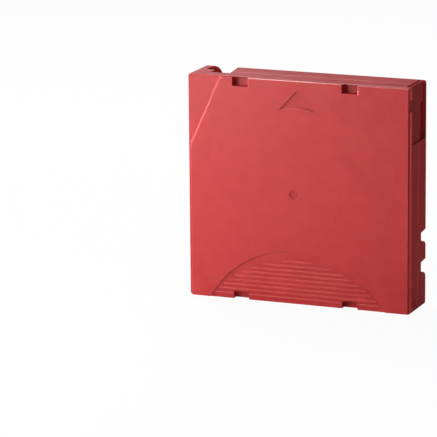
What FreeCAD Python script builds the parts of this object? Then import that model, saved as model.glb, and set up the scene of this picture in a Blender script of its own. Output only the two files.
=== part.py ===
"""Half-inch single-reel data tape cartridge, standing on its rear (label) side.

Axes: X is the width, with the tape door on the +X side. Y is the thickness: -Y is the printed face and +Y the
underside with the hub opening. Z is the insertion direction, from the rear side at 0 up to the front side.
The origin is the middle of the rear side. Millimetres.
"""
import FreeCAD, Part
import math
import os

V = FreeCAD.Vector

# ---- case ----
case_width = 105.4
case_length = 102.0
face_wall = 1.6
side_wall = 1.5
rear_wall = 1.6
front_wall = 1.6
corner_radius = 1.2
parting_y = -0.6            # where the two halves meet
parting_bevel = 0.25
under_bevel = 0.6           # bevel round the underside

# ---- raised panel of the printed face ----
panel_rise = 0.8
panel_border = 1.1
panel_front_border = 0.25
panel_draft = 0.2
panel_front_draft = 0.35
corner_cut_x = 15.3         # panel's bare corner, measured from the left side and from the front side
corner_cut_z = 30.9
corner_slope = 0.9
front_bevel = 0.25

# ---- marks on the printed face ----
face_notch_x = 25.9         # reel's axis to the middle of each notch
face_notch_width = 7.3
front_notch_length = 4.35
rear_notch_length = 3.5
face_notch_depth = 3.4
notch_wall = 1.3
notch_bevel = 0.45
gate_radius = 2.45
gate_depth = 0.5
arrow_tip_gap = 4.7         # arrow tip to the front side
arrow_half_width = 8.3
arrow_length = 9.0
arrow_bulge = 1.4
arrow_depth = 0.7
mark_centre_x = -0.8        # middle of the arrow and of the grip
grip_length = 24.6          # rear side to the top of the grip's arc
grip_radius = 47.6
grip_depth = 0.5
grip_margin = 4.8           # arc of the grip to the arc of the rib ends
grip_end_radius = 54.0      # arc of the rib ends
grip_pitch = 2.11
grip_first_z = 2.5
grip_rib_width = 0.9
side_groove_count = 6
side_groove_depth = 0.5
side_groove_height = 6.5

# ---- tape door ----
door_opening_length = 26.0
opening_top_margin = 2.85   # printed face to the opening
opening_bottom_margin = 1.45
door_recess = 1.0
door_gap = 0.2
door_thickness = 1.3
door_overlap = 2.0
door_leg_length = 8.9
door_edge_y = 5.0
door_end_gap = 0.25
door_front_slot = 0.9       # inside of the door to the edge of the front wall
door_travel = 25.0
door_corner_radius = 4.5
door_guide_height = 1.2
door_guide_width = 1.0
door_foot_thickness = 1.4
edge_recess_length = 5.3
edge_recess_gap = 5.4

# ---- door spring ----
door_spring_radius = 1.3
door_spring_wire = 0.36
door_spring_turns = 13
door_spring_stop_z = 67.0
door_spring_drop = 2.75     # roof to the spring's axis
spring_rib_gap = 3.0        # spring's stop to the rib beside the spring

# ---- front corner notch and side notches ----
corner_block_width = 8.3
corner_notch_width = 9.3
corner_notch_slant = 1.9
corner_notch_depth = 6.5
corner_notch_y = -4.0
hook_pocket_width = 4.2
hook_pocket_y = 1.5
hook_pocket_wall = 1.1
hook_pocket_depth = 9.0
handling_depth = 2.5
handling_y = 4.0
handling_root_z = (28.8, 14.6)      # rear end of each notch's root
handling_root_length = (3.4, 4.0)
handling_flat_lip = 0.9

# ---- reel ----
reel_centre_x = -1.8
reel_centre_drop = 0.6      # middle of the case to the reel's axis, towards the rear
reel_side_gap = 1.5
reel_end_gap = 0.9
reel_roof_gap = 1.55        # upper flange to the inside of the printed face
tape_width = 12.65
tape_room = 0.15            # flange gap beyond the tape's width
flange_thickness = 1.0
hub_radius = 22.0
hub_wall = 2.5
hub_floor_thickness = 2.4
hub_boss_height = 1.6       # lower flange to the hub's underside
hub_wall_gap = 1.3          # brake to the hub's wall
flange_reach = 3.0          # flanges beyond the wound tape
opening_clearance = 1.0
rim_width = 1.5
rim_gap = 0.3
gear_recess = 0.65          # underside of the case to the tips of the drive teeth
drive_tooth_height = 1.3
drive_ring_width = 4.6
drive_ring_margin = 1.2     # drive teeth to the hub's rim
plate_margin = 0.4          # plate's seat to the drive teeth
tooth_count = 48            # a multiple of 12, so that the brake meshes at every 30 degrees
tooth_tip = 0.45
tooth_root = 1.05
plate_inner = 6.5
plate_thickness = 0.8
plate_sink = 0.6
spigot_height = 0.8
spigot_wall = 1.0
fit_gap = 0.05

# ---- brake and release pad ----
brake_ring_width = 2.6
brake_ring_margin = 1.6     # brake teeth to the brake's rim
brake_tooth_height = 1.2
lock_base_height = 1.2
lock_tooth_height = 1.2
lock_sectors = 3
lock_teeth_per_sector = 9
tooth_play = 0.4            # tooth tip to the opposite root when the brake is engaged
brake_thickness = 1.5
sleeve_radius = 5.6
sleeve_height = 6.6
key_size = 6.0
key_gap = 0.2
key_engagement = 4.0
brake_spring_radius = 7.4
brake_spring_wire = 0.8
brake_spring_turns = 5
pad_thickness = 1.0
pad_gap = 0.1
pad_radius = 7.0
pad_arm_width = 4.0
pad_leg_radius = 1.3
pad_leg_margin = 0.65       # legs to the hub's wall
pad_leg_sink = 0.2          # leg end to the tips of the drive teeth
leg_hole_gap = 0.1
brake_tip_radius = 3.0

# ---- leader pin ----
pin_inset_x = 9.5
pin_inset_z = 9.5
pin_end_radius = 2.6
pin_end_length = 1.3
pin_shaft_radius = 1.4
pin_end_gap = 0.1
clip_radius = 2.3
clip_slot = 1.2
cradle_gap = 0.2
cradle_wall = 1.0
cradle_height = 1.6
leader_thickness = 0.2
retainer_thickness = 0.3
retainer_gap = 2.15         # wall of the face notch to the retainer's web
retainer_web = 5.0

# ---- write-protect switch ----
switch_window_inset = 7.5   # left side to the middle of the window
switch_window_width = 9.0
switch_window_height = 4.6
switch_tab_width = 4.4
switch_travel = 4.2
switch_side_gap = 0.2
switch_body_width = 7.4
switch_body_thickness = 2.2
switch_body_height = 6.4
switch_tab_sink = 0.5
switch_guide_wall = 1.0

# ---- memory board ----
memory_inset = 19.7         # right side to the middle of the board
memory_length = 16.0
memory_height = 8.0
memory_thickness = 0.6
memory_lift = 2.4
memory_chip_size = 3.2
memory_chip_thickness = 0.7
memory_rib = 1.2

# ---- screws, datum holes, label recess ----
screw_side_inset = 8.2
screw_rear_inset = 19.5
screw_front_inset = 20.5
door_screw_side_inset = 11.2
door_screw_front_inset = 20.0
screw_post_radius = 3.0
screw_shank_radius = 1.0
screw_head_radius = 2.0
screw_head_height = 1.4
screw_head_sink = 0.5
screw_engagement = 6.0
drive_socket_radius = 0.85
drive_socket_depth = 0.8
datum_inset = 7.4
datum_z = 9.6
datum_radius = 2.0
datum_depth = 6.0
datum_slot_length = 5.2
datum_boss_wall = 1.3
label_left_inset = 15.7
label_right_inset = 5.7
label_height = 15.4
label_y = 1.3
label_depth = 0.4

# ---- levels and outlines that follow from the sizes above ----
flange_stack = tape_width + tape_room + 2 * flange_thickness
drive_stack = hub_boss_height + drive_tooth_height + gear_recess
case_thickness = face_wall + reel_roof_gap + flange_stack + drive_stack

left = -case_width / 2
right = case_width / 2
face_y = -case_thickness / 2
under_y = case_thickness / 2
ledge_y = face_y + panel_rise
roof_y = face_y + face_wall
floor_y = under_y - face_wall
opening_top_y = face_y + opening_top_margin
opening_bottom_y = under_y - opening_bottom_margin
opening_rear_z = case_length - door_opening_length
door_outer_x = right - door_recess
door_inner_x = door_outer_x - door_thickness
thin_wall_x = door_outer_x + door_gap
door_guide_x = door_inner_x - door_gap - door_guide_width
front_inner_z = case_length - front_wall

tooth_tip_y = under_y - gear_recess
hub_under_y = tooth_tip_y - drive_tooth_height
hub_floor_y = hub_under_y - hub_floor_thickness
flange_under_y = hub_under_y - hub_boss_height
rim_height = floor_y - flange_under_y - rim_gap
flange_upper_side_y = flange_under_y - flange_thickness
top_flange_under_y = flange_upper_side_y - tape_width - tape_room
top_flange_y = top_flange_under_y - flange_thickness
reel_centre_z = case_length / 2 - reel_centre_drop
reel_side_room = min(reel_centre_x - left - side_wall, door_guide_x - reel_centre_x)
reel_radius = min(reel_side_room - reel_side_gap, reel_centre_z - rear_wall - reel_end_gap)
tape_radius = reel_radius - flange_reach
hub_inner = hub_radius - hub_wall
drive_ring_inner = hub_radius - drive_ring_margin - drive_ring_width
plate_seat_radius = drive_ring_inner - plate_margin

lock_root_y = hub_floor_y - lock_base_height
lock_tip_y = lock_root_y - lock_tooth_height
brake_under_y = lock_tip_y - tooth_play
brake_back_y = brake_under_y - brake_thickness
pad_top_y = hub_floor_y - pad_gap - pad_thickness
brake_radius = hub_inner - hub_wall_gap
brake_ring_inner = brake_radius - brake_ring_margin - brake_ring_width
pad_leg_circle = hub_inner - pad_leg_margin - pad_leg_radius

tape_y0 = top_flange_under_y + tape_room / 2
sleeve_top_y = brake_back_y - sleeve_height
brake_key_end_y = sleeve_top_y + key_engagement

pin_x = right - pin_inset_x
pin_z = case_length - pin_inset_z
door_spring_x = door_guide_x - door_spring_radius - door_spring_wire / 2
switch_window_x = left + switch_window_inset
memory_x = right - memory_inset
datum_x = right - datum_inset
screw_seat_y = under_y - screw_head_sink - screw_head_height
screw_left_x = left + screw_side_inset
screw_right_x = right - screw_side_inset
screw_door_x = right - door_screw_side_inset
screw_places = ((screw_left_x, screw_rear_inset), (screw_right_x, screw_rear_inset),
                (screw_left_x, case_length - screw_front_inset),
                (screw_door_x, case_length - door_screw_front_inset))

board_reach = (memory_height + memory_thickness) / 2 * math.sqrt(0.5)
memory_centre_z = memory_lift + board_reach
memory_centre_y = floor_y - board_reach - 0.1
memory_y0 = memory_centre_y - board_reach
memory_z1 = memory_centre_z + board_reach


# ---- helpers ----
def block(x0, x1, y0, y1, z0, z1):
    return Part.makeBox(x1 - x0, y1 - y0, z1 - z0, V(x0, y0, z0))


def rod(x, z, radius, y0, y1):
    return Part.makeCylinder(radius, y1 - y0, V(x, y0, z), V(0, 1, 0))


def ring(x, z, outer, inner, y0, y1):
    return rod(x, z, outer, y0, y1).cut(rod(x, z, inner, y0, y1))


def reel_rod(radius, y0, y1):
    return rod(reel_centre_x, reel_centre_z, radius, y0, y1)


def reel_ring(outer, inner, y0, y1):
    return ring(reel_centre_x, reel_centre_z, outer, inner, y0, y1)


def reel_square(half, y0, y1):
    return block(reel_centre_x - half, reel_centre_x + half, y0, y1, reel_centre_z - half, reel_centre_z + half)


def plate(outline, y0, y1):
    """Extrude a closed outline of (x, z) points along Y."""
    points = [V(x, y0, z) for x, z in outline]
    return Part.Face(Part.makePolygon(points + points[:1])).extrude(V(0, y1 - y0, 0))


def bar(outline, x0, x1):
    """Extrude a closed outline of (y, z) points along X."""
    points = [V(x0, y, z) for y, z in outline]
    return Part.Face(Part.makePolygon(points + points[:1])).extrude(V(x1 - x0, 0, 0))


def post(outline, z0, z1):
    """Extrude a closed outline of (x, y) points along Z."""
    points = [V(x, y, z0) for x, y in outline]
    return Part.Face(Part.makePolygon(points + points[:1])).extrude(V(0, 0, z1 - z0))


def turned(shape, degrees):
    """A copy turned about the reel's axis."""
    copy = shape.copy()
    copy.rotate(V(reel_centre_x, 0, reel_centre_z), V(0, 1, 0), degrees)
    return copy


def mirrored(shape):
    return shape.mirror(V(0, 0, 0), V(1, 0, 0))


def edges_along(shape, axis, keep=lambda middle: True):
    """Straight edges parallel to an axis whose middle point passes a test."""
    found = []
    for edge in shape.Edges:
        start, end = edge.Vertexes[0].Point, edge.Vertexes[-1].Point
        run = end.sub(start)
        if run.Length > 0 and abs(abs(run.dot(axis)) - run.Length) < 1e-6 and keep((start + end) * 0.5):
            found.append(edge)
    return found


def fuse_all(base, pieces):
    return base.multiFuse(pieces).removeSplitter()


def cut_all(base, pieces):
    return base.cut(Part.makeCompound(pieces)) if pieces else base


def export(shape, name):
    solid = shape.Solids[0] if len(shape.Solids) == 1 else shape
    solid.exportStep("parts/" + name + ".step")
    print(name, len(shape.Solids), round(shape.Volume, 1), shape.isValid())


# ---- case: shared forms ----
def case_block(y0, y1):
    body = block(left, right, y0, y1, 0, case_length)
    return body.makeFillet(corner_radius, edges_along(body, V(0, 1, 0)))


def cavity(y0, y1):
    """Room inside the case, with the right wall thinned along the door's path."""
    room = block(left + side_wall, right - side_wall, y0, y1, rear_wall, front_inner_z)
    path_rear = opening_rear_z - door_overlap - door_travel - 1.0
    door_path = block(door_inner_x - 2.0, thin_wall_x, y0, y1, path_rear, front_inner_z)
    return room.fuse(door_path)


def door_opening():
    """Window in the right side that runs out through the front side."""
    window = block(door_inner_x - door_gap, right + 1, opening_top_y, opening_bottom_y, opening_rear_z, case_length)
    slot = block(door_inner_x - door_front_slot, right + 1, opening_top_y, opening_bottom_y, front_inner_z,
                 case_length + 1)
    return window.fuse(slot)


def handling_notch(index, extra=0.0):
    """Side notch with one square and one slanted flank, or its outer form when extra is the wall around it."""
    root_x = right - handling_depth - extra
    low = handling_root_z[index] - extra
    high = handling_root_z[index] + handling_root_length[index] + extra
    outline = [(root_x, low), (root_x, high), (right, high + handling_depth + extra)]
    if extra:
        outline += [(right, low)]
    else:
        outline += [(right + 1, high + handling_depth), (right + 1, low - handling_flat_lip),
                    (right, low - handling_flat_lip), (right - handling_flat_lip, low)]
    return plate(outline, handling_y - extra, floor_y if extra else under_y + 1)


def handling_notches(extra=0.0):
    one_side = [handling_notch(index, extra) for index in range(len(handling_root_z))]
    return one_side + [mirrored(notch) for notch in one_side]


def corner_notch(extra=0.0):
    """Loader notch in the front side, open to the underside, with a slanted right flank."""
    x0 = left + corner_block_width
    x1 = x0 + corner_notch_width
    outline = [(x0 - extra, corner_notch_y - extra), (x1 + extra, corner_notch_y - extra),
               (x1 + extra - corner_notch_slant, under_y + 1), (x0 - extra, under_y + 1)]
    return post(outline, case_length - corner_notch_depth - extra, case_length + 1)


def hook_pocket(extra=0.0):
    """Hollow beside the loader notch, where the drive's hook takes hold."""
    x1 = left + corner_block_width
    y1 = under_y - hook_pocket_wall
    pocket = block(x1 - hook_pocket_width - extra, x1 + 0.5, hook_pocket_y - extra, y1,
                   case_length - hook_pocket_depth - extra, case_length + 1)
    if extra:
        return pocket
    far_corner = edges_along(pocket, V(0, 0, 1), lambda m: m.x < x1 - 1 and m.y > hook_pocket_y + 1)
    return pocket.makeFillet(hook_pocket_width * 0.8, far_corner)


def lip_rounding():
    """Rounds the thin wall beyond the hook pocket down towards the loader notch."""
    x1 = left + corner_block_width
    size = hook_pocket_width
    corner = block(x1 - size, x1 + 0.5, hook_pocket_y, under_y + 1, case_length - size, case_length + 1)
    return corner.cut(rod(x1 - size, case_length - size, size, hook_pocket_y - 1, under_y + 2))


def switch_window():
    half = switch_window_width / 2
    tall = switch_window_height / 2
    return block(switch_window_x - half, switch_window_x + half, parting_y - tall, parting_y + tall, -1, rear_wall + 1)


def label_recess():
    low = label_y - label_height / 2
    return block(left + label_left_inset, right - label_right_inset, low, low + label_height, -1, label_depth)


def switch_guides(y0, y1):
    """Rib that holds the switch's slide against the rear wall."""
    reach = (switch_body_width + switch_travel) / 2 + 1.0
    back = rear_wall + switch_side_gap + switch_body_thickness + switch_side_gap
    start = max(switch_window_x - reach, left + side_wall / 2)
    return block(start, switch_window_x + reach, y0, y1, back, back + switch_guide_wall)


def pin_cradle(y0, y1):
    """C-shaped seat for one end of the leader pin, open towards the door."""
    inner = pin_end_radius + cradle_gap
    outer = inner + cradle_wall
    seat = ring(pin_x, pin_z, outer, inner, y0, y1)
    return seat.cut(block(pin_x + 0.6, pin_x + outer + 1, y0 - 1, y1 + 1, pin_z - outer - 1, pin_z + outer + 1))


def door_guide(y0, y1):
    rear = opening_rear_z - door_overlap - door_travel
    return block(door_guide_x, door_guide_x + door_guide_width, y0, y1, rear, front_inner_z)


# ---- upper half of the case ----
def raised_panel():
    """Printed face: a drafted panel whose corner is cut off by a long slope."""
    x0, x1 = left + panel_border, right - panel_border
    z1 = case_length - panel_front_border
    foot = [(x0, 0), (x0, case_length - corner_cut_z), (left + corner_cut_x, z1), (x1, z1), (x1, 0)]
    run_x = corner_cut_x - panel_border
    run_z = corner_cut_z - panel_front_border
    reach = corner_slope * math.hypot(run_x, run_z)
    side_drop = (reach - run_z * panel_draft) / run_x
    front_shift = (reach - run_x * panel_front_draft) / run_z
    top = [(x0 + panel_draft, 0), (x0 + panel_draft, case_length - corner_cut_z - side_drop),
           (left + corner_cut_x + front_shift, z1 - panel_front_draft),
           (x1 - panel_draft, z1 - panel_front_draft), (x1 - panel_draft, 0)]
    wires = []
    for outline, y in ((foot, ledge_y), (top, face_y)):
        points = [V(x, y, z) for x, z in outline]
        wires.append(Part.makePolygon(points + points[:1]))
    return Part.makeLoft(wires, True, True)


def face_notches(extra=0.0):
    """Four square notches in the printed face, open to the front side or to the rear side."""
    half = face_notch_width / 2 + extra
    y0 = face_y - 1 if not extra else roof_y - 0.3
    y1 = face_y + face_notch_depth + extra
    notches = []
    for side in (-1, 1):
        x = reel_centre_x + side * face_notch_x
        front_end = front_inner_z + 0.3 if extra else case_length - front_bevel
        rear_start = rear_wall - 0.3 if extra else -1
        notches.append(block(x - half, x + half, y0, y1, case_length - front_notch_length - extra, front_end))
        notches.append(block(x - half, x + half, y0, y1, rear_start, rear_notch_length + extra))
    return notches


def notch_bevels():
    """A slope along the right-hand edge of each notch."""
    bevels = []
    for side in (-1, 1):
        x = reel_centre_x + side * face_notch_x + face_notch_width / 2
        outline = [(x - 0.1, face_y - 1), (x + notch_bevel + 1, face_y - 1), (x - 0.1, face_y + notch_bevel + 0.1)]
        bevels.append(post(outline, case_length - front_notch_length, case_length - panel_front_border))
        bevels.append(post(outline, -1, rear_notch_length))
    return bevels


def insertion_arrow():
    tip = case_length - arrow_tip_gap
    base = tip - arrow_length
    y0, y1 = face_y - 1, face_y + arrow_depth
    x = mark_centre_x
    ends = (V(x - arrow_half_width, y0, base), V(x + arrow_half_width, y0, base), V(x, y0, tip))
    arc = Part.Arc(ends[0], V(x, y0, base + arrow_bulge), ends[1]).toShape()
    legs = [Part.makeLine(ends[1], ends[2]), Part.makeLine(ends[2], ends[0])]
    return Part.Face(Part.Wire([arc] + legs)).extrude(V(0, y1 - y0, 0))


def grip_recess():
    """Segment of a circle at the rear edge of the printed face."""
    disc = rod(mark_centre_x, grip_length - grip_radius, grip_radius, face_y - 1, face_y + grip_depth)
    return disc.common(block(left, right, face_y - 1, face_y + grip_depth, -1, case_length))


def grip_ribs():
    """Ribs across the grip, which end on a second arc."""
    centre_z = grip_length - grip_margin - grip_end_radius
    ribs = []
    z = grip_first_z
    while z < grip_length - grip_margin - grip_rib_width / 3:
        half = math.sqrt(grip_end_radius ** 2 - (z - centre_z) ** 2)
        rib = block(mark_centre_x - half, mark_centre_x + half, face_y, face_y + grip_depth + 0.1,
                    z - grip_rib_width / 2, z + grip_rib_width / 2)
        bevel = grip_rib_width * 0.28
        ribs.append(rib.makeChamfer(bevel, [e for e in rib.Edges if abs(e.CenterOfMass.y - face_y) < 1e-6]))
        z += grip_pitch
    return ribs


def side_grooves():
    """Finger grooves in both sides beside the grip, ending on a slant."""
    grooves = []
    for index in range(side_groove_count):
        z = grip_first_z + index * grip_pitch
        height = side_groove_height * (1 - index / (side_groove_count + 2))
        groove = block(right - side_groove_depth, right + 1, ledge_y + 0.5, ledge_y + 0.5 + height,
                       z - grip_rib_width / 2, z + grip_rib_width / 2)
        grooves += [groove, mirrored(groove)]
    return grooves


def edge_recess():
    """Short step in the edge of the printed face above the door."""
    z1 = case_length - edge_recess_gap
    return block(right - panel_border, right + 1, face_y - 1, opening_top_y, z1 - edge_recess_length, z1)


def brake_key():
    """Square post that keeps the brake from turning."""
    return reel_square(key_size / 2, roof_y, brake_key_end_y)


def door_spring_channel():
    """Stop and side rib for the door spring."""
    x = door_spring_x
    reach = door_spring_radius + door_spring_wire
    depth = roof_y + door_spring_drop + reach
    stop = block(x - reach + 0.1, x + reach, roof_y, depth, door_spring_stop_z - 1.2, door_spring_stop_z)
    rib_x = x - reach - door_gap
    rib_end = pin_z - pin_end_radius - 2.0
    rib = block(rib_x - 0.7, rib_x, roof_y, depth, door_spring_stop_z + spring_rib_gap, rib_end)
    return [stop, rib]


def front_edge_bevel():
    """Bevel along the front edge of the printed face, beside the panel's bare corner."""
    outline = [(ledge_y - 1, case_length - front_bevel - 1), (ledge_y - 1, case_length + 1),
               (ledge_y + front_bevel + 1, case_length + 1)]
    start = left + corner_cut_x - panel_border
    return bar(outline, start, right + 1)


def make_upper_case():
    shell = case_block(ledge_y, parting_y)
    outer_edges = edges_along(shell, V(1, 0, 0), lambda m: m.y > parting_y - 0.1)
    outer_edges += edges_along(shell, V(0, 0, 1), lambda m: m.y > parting_y - 0.1)
    shell = shell.makeChamfer(parting_bevel, outer_edges)
    shell = shell.cut(front_edge_bevel())
    shell = shell.fuse(raised_panel())
    shell = shell.cut(cavity(roof_y, parting_y + 1))
    inner = face_notches(notch_wall)
    for x, z in screw_places:
        inner.append(rod(x, z, screw_post_radius, roof_y - 0.3, parting_y))
    inner += [brake_key(), pin_cradle(roof_y - 0.3, roof_y + cradle_height)]
    inner += [door_guide(roof_y - 0.3, roof_y + door_guide_height)]
    inner += door_spring_channel()
    inner += [switch_guides(roof_y - 0.3, parting_y)]
    room = corner_notch(notch_wall).common(case_block(roof_y - 0.3, parting_y))
    inner.append(room.common(block(left, 0, roof_y, parting_y, 0, front_inner_z + 0.3)))
    shell = fuse_all(shell, inner)
    cuts = face_notches() + notch_bevels() + [insertion_arrow(), grip_recess(), edge_recess()]
    cuts += [reel_rod(gate_radius, face_y - 1, face_y + gate_depth)]
    cuts += side_grooves()
    cuts += [door_opening(), corner_notch(), switch_window(), label_recess()]
    for x, z in screw_places:
        cuts.append(rod(x, z, screw_shank_radius, parting_y - screw_engagement, parting_y + 1))
    shell = cut_all(shell, cuts)
    ribs = cut_all(Part.makeCompound(grip_ribs()), face_notches())
    return fuse_all(shell, ribs.Solids)


# ---- lower half of the case ----
def memory_seat():
    """Two ribs with a sloping slot for the memory board."""
    ribs = []
    for end in (-1, 1):
        x = memory_x + end * (memory_length / 2 - memory_rib)
        rib = block(x - memory_rib / 2, x + memory_rib / 2, memory_y0 - 1.0, floor_y + 0.3, rear_wall - 0.3,
                    memory_z1 + 1.0)
        ribs.append(rib.cut(memory_blank(fit_gap)))
    return ribs


def memory_blank(extra=0.0):
    """The board, tilted 45 degrees between the rear side and the underside."""
    thick = memory_thickness / 2 + extra
    tall = memory_height / 2 + extra
    board = block(memory_x - memory_length / 2 - extra, memory_x + memory_length / 2 + extra, -thick, thick,
                  -tall, tall)
    board.rotate(V(memory_x, 0, 0), V(1, 0, 0), 45)
    board.translate(V(0, memory_centre_y, memory_centre_z))
    return board


def datum_bosses():
    bosses = [rod(-datum_x, datum_z, datum_radius + datum_boss_wall, under_y - datum_depth - 1.0, floor_y + 0.3)]
    slot = datum_slot(datum_boss_wall, under_y - datum_depth - 1.0, floor_y + 0.3)
    return bosses + [slot]


def datum_slot(extra, y0, y1):
    run = (datum_slot_length - 2 * datum_radius) / 2
    radius = datum_radius + extra
    ends = [rod(datum_x - run, datum_z, radius, y0, y1), rod(datum_x + run, datum_z, radius, y0, y1)]
    return fuse_all(block(datum_x - run, datum_x + run, y0, y1, datum_z - radius, datum_z + radius), ends)


def make_lower_case():
    shell = case_block(parting_y, under_y)
    top_edges = edges_along(shell, V(1, 0, 0), lambda m: m.y < parting_y + 0.1)
    top_edges += edges_along(shell, V(0, 0, 1), lambda m: m.y < parting_y + 0.1)
    shell = shell.makeChamfer(parting_bevel, top_edges)
    under_edges = edges_along(shell, V(1, 0, 0), lambda m: m.y > under_y - 0.1)
    under_edges += edges_along(shell, V(0, 0, 1), lambda m: m.y > under_y - 0.1)
    shell = shell.makeChamfer(under_bevel, under_edges)
    shell = shell.cut(cavity(parting_y - 1, floor_y))
    opening_radius = hub_radius + opening_clearance
    inner = handling_notches(side_wall) + datum_bosses() + memory_seat()
    for x, z in screw_places:
        inner.append(rod(x, z, screw_post_radius, parting_y, floor_y + 0.3))
    inner += [reel_rod(opening_radius + rim_width, floor_y - rim_height, floor_y + 0.3)]
    inner += [pin_cradle(floor_y - cradle_height, floor_y + 0.3)]
    inner += [door_guide(floor_y - door_guide_height, floor_y + 0.3)]
    inner += [switch_guides(parting_y, floor_y + 0.3)]
    room = corner_notch(notch_wall).fuse(hook_pocket(notch_wall)).common(case_block(parting_y, floor_y + 0.3))
    inner.append(room.common(block(left, 0, parting_y, floor_y + 0.3, 0, front_inner_z + 0.3)))
    shell = fuse_all(shell, inner)
    cuts = [reel_rod(opening_radius, floor_y - rim_height - 1, under_y + 1)]
    cuts += handling_notches()
    cuts += [door_opening(), corner_notch(), hook_pocket(), lip_rounding(), switch_window(), label_recess()]
    cuts += [rod(-datum_x, datum_z, datum_radius, under_y - datum_depth, under_y + 1)]
    cuts += [datum_slot(0.0, under_y - datum_depth, under_y + 1)]
    for x, z in screw_places:
        cuts.append(rod(x, z, screw_head_radius + 0.3, screw_seat_y, under_y + 1))
        cuts.append(rod(x, z, screw_shank_radius + 0.2, parting_y - 1, under_y + 1))
    return cut_all(shell, cuts)


# ---- door ----
def make_door():
    """Sliding shutter with a leg at the front that the drive pushes, and a foot for its spring."""
    y0 = roof_y + door_end_gap
    y1 = floor_y - door_end_gap
    rear = opening_rear_z - door_overlap
    front = case_length - door_end_gap
    leg_rear = front - door_leg_length
    outline = [(y0, rear), (door_edge_y, rear), (door_edge_y, leg_rear), (y1, leg_rear), (y1, front_inner_z - door_gap),
               (opening_bottom_y - door_gap, front_inner_z - door_gap), (opening_bottom_y - door_gap, front),
               (opening_top_y + door_gap, front), (opening_top_y + door_gap, front_inner_z - door_gap),
               (y0, front_inner_z - door_gap)]
    door = bar(outline, door_inner_x, door_outer_x)
    lower_corner = edges_along(door, V(1, 0, 0), lambda m: m.z < rear + 0.1 and m.y > 0)
    door = door.makeFillet(door_corner_radius, lower_corner)
    nose = edges_along(door, V(0, 1, 0), lambda m: m.x > door_outer_x - 0.1 and m.z > front - 0.1)
    door = door.makeFillet(door_thickness * 0.75, nose)
    axis_y = roof_y + door_spring_drop
    foot = block(door_spring_x - door_spring_radius - door_spring_wire / 2, door_inner_x + 0.1,
                 axis_y - door_spring_radius, axis_y + door_spring_radius,
                 front_inner_z - door_gap - door_foot_thickness, front_inner_z - door_gap)
    tab_rib = block(door_inner_x - 0.8, door_inner_x + 0.1, door_edge_y + 0.4, y1 - door_guide_height - 0.4,
                    leg_rear + 0.6, leg_rear + 1.8)
    return fuse_all(door, [foot, tab_rib])


def coil(radius, wire, turns, length, steps, sides):
    """Compression spring along +Z from the origin, with its whole wire inside the length."""
    run = length - wire
    count = steps * turns
    rings = []
    for step in range(count + 1):
        turn = 2 * math.pi * step / steps
        out = V(math.cos(turn), math.sin(turn), 0)
        middle = out * radius + V(0, 0, wire / 2 + run * step / count)
        angles = [2 * math.pi * side / sides for side in range(sides)]
        rings.append([middle + (out * math.cos(a) + V(0, 0, 1) * math.sin(a)) * (wire / 2) for a in angles])
    outlines = [rings[0][::-1], rings[-1]]
    for near, far in zip(rings, rings[1:]):
        for side in range(sides):
            after = (side + 1) % sides
            outlines.append([near[side], near[after], far[after]])
            outlines.append([near[side], far[after], far[side]])
    faces = [Part.Face(Part.makePolygon(outline + outline[:1])) for outline in outlines]
    return Part.Solid(Part.Shell(faces))


def make_door_spring():
    foot_z = front_inner_z - door_gap - door_foot_thickness
    spring = coil(door_spring_radius, door_spring_wire, door_spring_turns, foot_z - door_spring_stop_z, 14, 6)
    spring.translate(V(door_spring_x, roof_y + door_spring_drop, door_spring_stop_z))
    return spring


# ---- reel ----
def tooth(inner, width, tip_y, root_y):
    """One drafted tooth on a ring, its root sunk a little into the ring's face."""
    sign = 1 if root_y > tip_y else -1
    sunk = root_y + 0.2 * sign
    slope = (tooth_root - tooth_tip) / abs(root_y - tip_y) / 2
    half_tip = tooth_tip / 2
    half_sunk = half_tip + slope * abs(sunk - tip_y)
    outline = [(-half_tip, tip_y), (half_tip, tip_y), (half_sunk, sunk), (-half_sunk, sunk)]
    points = [V(reel_centre_x + x, y, reel_centre_z + inner) for x, y in outline]
    return Part.Face(Part.makePolygon(points + points[:1])).extrude(V(0, 0, width))


def tooth_ring(inner, width, tip_y, root_y, numbers, shift=0.0):
    one = tooth(inner, width, tip_y, root_y)
    step = 360.0 / tooth_count
    return [turned(one, (number + shift) * step) for number in numbers]


def leg_angles():
    return [index * 360.0 / lock_sectors for index in range(lock_sectors)]


def leg_rods(radius, y0, y1):
    one = rod(reel_centre_x, reel_centre_z + pad_leg_circle, radius, y0, y1)
    return [turned(one, angle) for angle in leg_angles()]


def lock_tooth_numbers():
    """Numbers of the teeth that stand in the sectors, between the pad's legs."""
    per_sector = tooth_count // lock_sectors
    first = (per_sector - lock_teeth_per_sector + 1) // 2
    numbers = []
    for sector in range(lock_sectors):
        numbers += [sector * per_sector + first + index for index in range(lock_teeth_per_sector)]
    return numbers


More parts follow.
